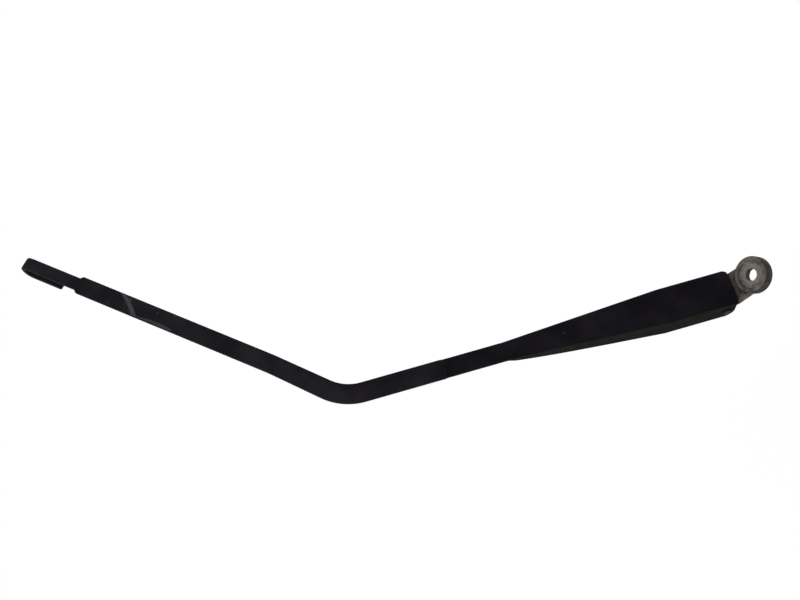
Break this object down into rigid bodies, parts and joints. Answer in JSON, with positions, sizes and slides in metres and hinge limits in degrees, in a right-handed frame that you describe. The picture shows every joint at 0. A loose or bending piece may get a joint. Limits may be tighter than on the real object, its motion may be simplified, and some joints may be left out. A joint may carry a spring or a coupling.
{
  "type": "wiper arm",
  "caption": "Black windscreen wiper arm folded up on its bare cast mounting head, with a pressed channel, a spring inside it and a flat cranked rod that ends in a hook for the blade.",
  "frame": {"origin": "middle of the nut seat, on the axis of the spindle bore", "axes": "+Z leaves the nut side along the spindle bore, the arm leaves towards -X and is folded up by 48 degrees, and its hook lies towards +Y"},
  "size_m": [0.3932, 0.2025, 0.3577],
  "materials": {
    "black_paint": "satin black paint over steel, with light scuffs",
    "cast_zinc": "dull weathered die casting with faint rust stain",
    "pin_steel": "dull zinc-plated steel",
    "spring_steel": "oiled spring wire",
    "nylon": "aged natural nylon"
  },
  "bodies": {
    "head": {"mounting_head": "cast_zinc", "hinge_bush_far": "nylon", "hinge_bush_near": "nylon", "link_pin": "pin_steel"},
    "arm": {"arm_channel": "black_paint", "hinge_pin": "black_paint", "arm_rod": "black_paint", "rod_rivet": "black_paint", "tension_spring": "spring_steel"},
    "link": {"spring_link": "pin_steel"}
  },
  "joints": [
    {"name": "arm_hinge", "type": "hinge", "parent": "head", "child": "arm", "pos_m": [-0.0302, 0, -0.0022], "axis": [0, -1, 0], "range_deg": [0, 60], "deforming": ["tension_spring"]},
    {"name": "link_swing", "type": "hinge", "parent": "head", "child": "link", "pos_m": [-0.02331, 0, -0.00799], "axis": [0, -1, 0], "range_deg": [0, 57]}
  ],
  "couplings": [
    {"joint": "link_swing", "follows": "arm_hinge", "ratio": 0.937}
  ]
}
